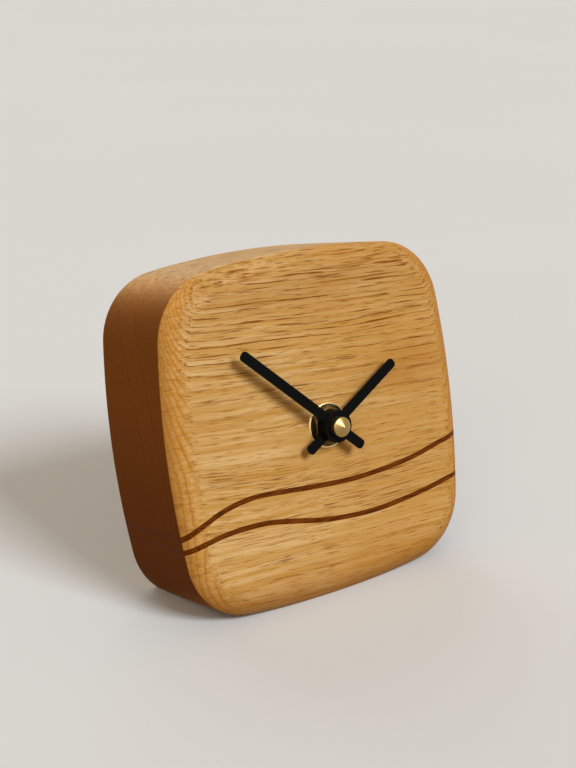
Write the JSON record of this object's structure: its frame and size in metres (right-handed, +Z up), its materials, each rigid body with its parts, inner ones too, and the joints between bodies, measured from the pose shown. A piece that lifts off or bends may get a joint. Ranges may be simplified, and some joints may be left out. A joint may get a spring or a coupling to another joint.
{
  "type": "desk clock",
  "caption": "Leaning rounded-square oak desk clock with walnut wave inlays, black bar hands on brass fittings and a battery movement in a pocket at the back.",
  "frame": {"origin": "middle of the flat base, on the surface that the clock stands on", "axes": "+Z up, the clock face looks towards -Y and leans back by 12 degrees, +X to the right as seen from the front"},
  "size_m": [0.1, 0.0546, 0.0971],
  "materials": {
    "oak": "oiled, satin",
    "walnut": "oiled, satin",
    "brass": "polished, turned",
    "black_metal": "satin black",
    "rubber": "matte",
    "black_plastic": "fine moulded grain",
    "pale_plastic": "moulded",
    "steel": "plain",
    "magnet": "sintered",
    "copper_wire": "enamelled wire",
    "circuit": "solder mask",
    "resin": "poured drop",
    "battery_can": "plain printed sleeve"
  },
  "bodies": {
    "clock_body": {"case_upper": "oak", "case_band": "oak", "case_foot": "oak", "inlay_upper": "walnut", "inlay_lower": "walnut", "face_washer": "brass", "bush_nut": "brass", "threaded_bush": "brass", "rubber_gasket": "rubber", "movement_case": "black_plastic", "movement_cover": "black_plastic", "wheel_bridge": "pale_plastic", "stator": "steel", "coil_bobbin": "pale_plastic", "coil_winding": "copper_wire", "circuit_board": "circuit", "crystal_can": "steel", "chip_cover": "resin", "contact_positive": "steel", "contact_negative": "steel"},
    "minute": {"minute_hand": "black_metal", "minute_arbor": "steel", "cap_nut": "brass"},
    "hour": {"hour_hand": "black_metal", "hour_wheel": "pale_plastic"},
    "motion": {"motion_wheel": "pale_plastic"},
    "setting": {"setting_pinion": "pale_plastic", "setting_knob": "black_plastic"},
    "second": {"second_wheel": "pale_plastic"},
    "third": {"third_wheel": "pale_plastic"},
    "center": {"center_wheel": "pale_plastic"},
    "intermediate": {"intermediate_wheel": "pale_plastic"},
    "rotor": {"rotor_pinion": "pale_plastic", "rotor_magnet": "magnet"},
    "battery": {"battery": "battery_can"}
  },
  "joints": [
    {"name": "minute_hand_turn", "type": "hinge", "parent": "clock_body", "child": "minute", "pos_m": [0, 0.00735, 0.04542], "axis": [0, 0.9781, -0.2079], "continuous": true},
    {"name": "hour_hand_turn", "type": "hinge", "parent": "clock_body", "child": "hour", "pos_m": [0, 0.00735, 0.04542], "axis": [0, 0.9781, -0.2079], "continuous": true},
    {"name": "motion_wheel_turn", "type": "hinge", "parent": "clock_body", "child": "motion", "pos_m": [0.0096, 0.00735, 0.04542], "axis": [0, 0.9781, -0.2079], "continuous": true},
    {"name": "setting_knob_turn", "type": "hinge", "parent": "clock_body", "child": "setting", "pos_m": [0.0183, 0.00651, 0.04145], "axis": [0, 0.9781, -0.2079], "continuous": true},
    {"name": "second_wheel_run", "type": "hinge", "parent": "clock_body", "child": "second", "pos_m": [0, 0.00735, 0.04542], "axis": [0, 0.9781, -0.2079], "continuous": true},
    {"name": "third_wheel_run", "type": "hinge", "parent": "clock_body", "child": "third", "pos_m": [-0.0097, 0.00852, 0.05089], "axis": [0, 0.9781, -0.2079], "continuous": true},
    {"name": "center_wheel_run", "type": "hinge", "parent": "clock_body", "child": "center", "pos_m": [0, 0.00735, 0.04542], "axis": [0, 0.9781, -0.2079], "continuous": true},
    {"name": "intermediate_wheel_run", "type": "hinge", "parent": "clock_body", "child": "intermediate", "pos_m": [0.00746, 0.0092, 0.05411], "axis": [0, 0.9781, -0.2079], "continuous": true},
    {"name": "rotor_run", "type": "hinge", "parent": "clock_body", "child": "rotor", "pos_m": [0.01706, 0.0092, 0.05411], "axis": [0, 0.9781, -0.2079], "continuous": true},
    {"name": "battery_out", "type": "slide", "parent": "clock_body", "child": "battery", "axis": [0, 0.9781, -0.2079], "range_m": [0, 0.03]}
  ],
  "couplings": [
    {"joint": "hour_hand_turn", "follows": "minute_hand_turn", "ratio": 0.083333},
    {"joint": "motion_wheel_turn", "follows": "minute_hand_turn", "ratio": -0.33333},
    {"joint": "setting_knob_turn", "follows": "minute_hand_turn", "ratio": 1},
    {"joint": "third_wheel_run", "follows": "second_wheel_run", "ratio": -0.13333},
    {"joint": "center_wheel_run", "follows": "second_wheel_run", "ratio": 0.016667},
    {"joint": "intermediate_wheel_run", "follows": "second_wheel_run", "ratio": -6},
    {"joint": "rotor_run", "follows": "second_wheel_run", "ratio": 30}
  ]
}
